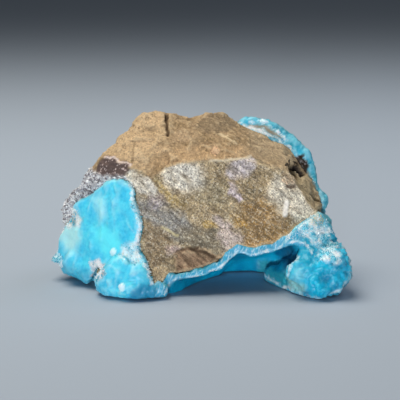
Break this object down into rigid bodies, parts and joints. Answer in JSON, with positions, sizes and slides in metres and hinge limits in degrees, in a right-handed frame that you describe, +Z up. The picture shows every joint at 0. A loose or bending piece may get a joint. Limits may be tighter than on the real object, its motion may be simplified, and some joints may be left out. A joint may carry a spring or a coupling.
{
  "type": "hemimorphite specimen",
  "caption": "Display mineral specimen: a broken lump of tan host rock with a botryoidal sky-blue hemimorphite crust, an arched hollow underneath and rounded lobes.",
  "frame": {"origin": "on the surface the specimen stands on, under the middle of its bounding box", "axes": "+Z up; X along the specimen's length, the knot of round lobes at +X; the broken front face looks towards -Y"},
  "size_m": [0.1218, 0.0674, 0.069],
  "materials": {
    "host_rock": "rough",
    "hemimorphite_crust": "satin"
  },
  "bodies": {
    "root": {"host_rock": "host_rock", "hemimorphite_crust": "hemimorphite_crust"}
  },
  "joints": []
}
